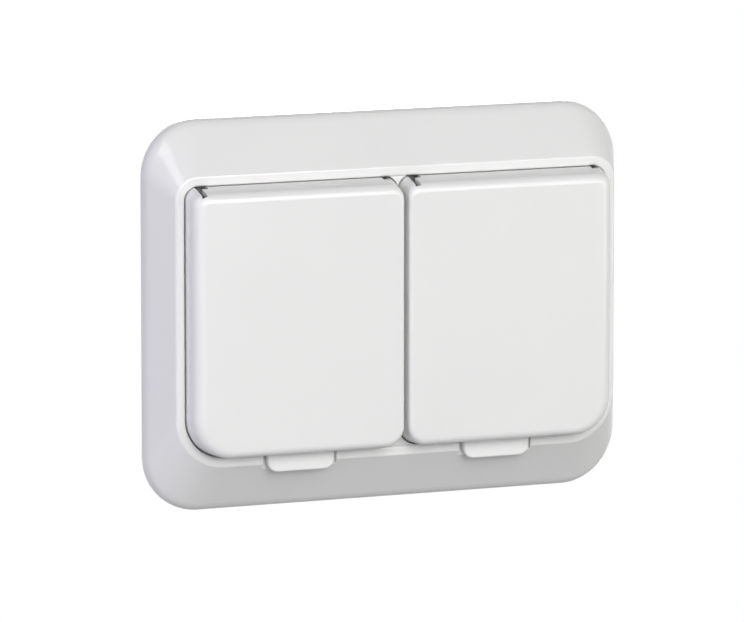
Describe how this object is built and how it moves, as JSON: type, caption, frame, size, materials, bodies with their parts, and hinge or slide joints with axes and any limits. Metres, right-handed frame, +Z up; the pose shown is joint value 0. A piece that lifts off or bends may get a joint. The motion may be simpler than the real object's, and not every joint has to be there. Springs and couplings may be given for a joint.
{
  "type": "weatherproof double socket",
  "caption": "Flush earthed double wall socket with a sloped white frame and a sprung, sealed hinged lid over each round plug recess.",
  "frame": {"origin": "centre of the wall box screw slots, on the wall plane at the back of the frame", "axes": "+X right along the long side seen from the front, +Y into the wall, +Z up"},
  "size_m": [0.127, 0.0491, 0.0976],
  "materials": {
    "cover_white": "glossy moulded",
    "cup_white": "satin moulded",
    "shutter_grey": "matt moulded",
    "base_grey": "matt moulded",
    "seal_rubber": "soft matt",
    "contact_brass": "stamped",
    "earth_bronze": "stamped, tinned",
    "spring_steel": "drawn",
    "pin_steel": "ground",
    "screw_steel": "zinc plated",
    "plate_steel": "galvanised",
    "rivet_aluminium": "plain"
  },
  "bodies": {
    "socket": {"frame": "cover_white", "earth_strap": "contact_brass", "live_bar": "contact_brass", "neutral_bar": "contact_brass", "clamp_springs": "spring_steel", "base_housing": "base_grey", "contact_block": "base_grey", "rear_cover": "base_grey", "rear_cover_screws": "screw_steel", "support_plate": "plate_steel", "plate_rivets": "rivet_aluminium", "wall_gasket": "seal_rubber", "left_hinge_pin": "pin_steel", "left_lid_spring": "spring_steel", "left_cup": "cup_white", "left_cup_gasket": "seal_rubber", "left_cup_screw": "screw_steel", "left_shutter_spring": "spring_steel", "left_earth_yoke": "earth_bronze", "right_hinge_pin": "pin_steel", "right_lid_spring": "spring_steel", "right_cup": "cup_white", "right_cup_gasket": "seal_rubber", "right_cup_screw": "screw_steel", "right_shutter_spring": "spring_steel", "right_earth_yoke": "earth_bronze"},
    "left_lid": {"left_lid": "cover_white", "left_lid_seal": "seal_rubber"},
    "right_lid": {"right_lid": "cover_white", "right_lid_seal": "seal_rubber"},
    "left_shutter": {"left_shutter": "shutter_grey"},
    "right_shutter": {"right_shutter": "shutter_grey"}
  },
  "joints": [
    {"name": "left_lid_hinge", "type": "hinge", "parent": "socket", "child": "left_lid", "pos_m": [-0.0283, -0.0146, 0.02895], "axis": [-1, 0, 0], "range_deg": [0, 100], "stiffness_Nm_per_rad": 0.01, "springref_deg": -28.65, "deforming": ["left_lid_spring"]},
    {"name": "right_lid_hinge", "type": "hinge", "parent": "socket", "child": "right_lid", "pos_m": [0.0283, -0.0146, 0.02895], "axis": [-1, 0, 0], "range_deg": [0, 100], "stiffness_Nm_per_rad": 0.01, "springref_deg": -28.65, "deforming": ["right_lid_spring"]},
    {"name": "left_shutter_turn", "type": "hinge", "parent": "socket", "child": "left_shutter", "pos_m": [-0.02635, 0.0107, 0], "axis": [0, -1, 0], "range_deg": [0, 34], "stiffness_Nm_per_rad": 0.001, "springref_deg": -17.19, "deforming": ["left_shutter_spring"]},
    {"name": "right_shutter_turn", "type": "hinge", "parent": "socket", "child": "right_shutter", "pos_m": [0.02635, 0.0107, 0], "axis": [0, -1, 0], "range_deg": [0, 34], "stiffness_Nm_per_rad": 0.001, "springref_deg": -17.19, "deforming": ["right_shutter_spring"]}
  ]
}
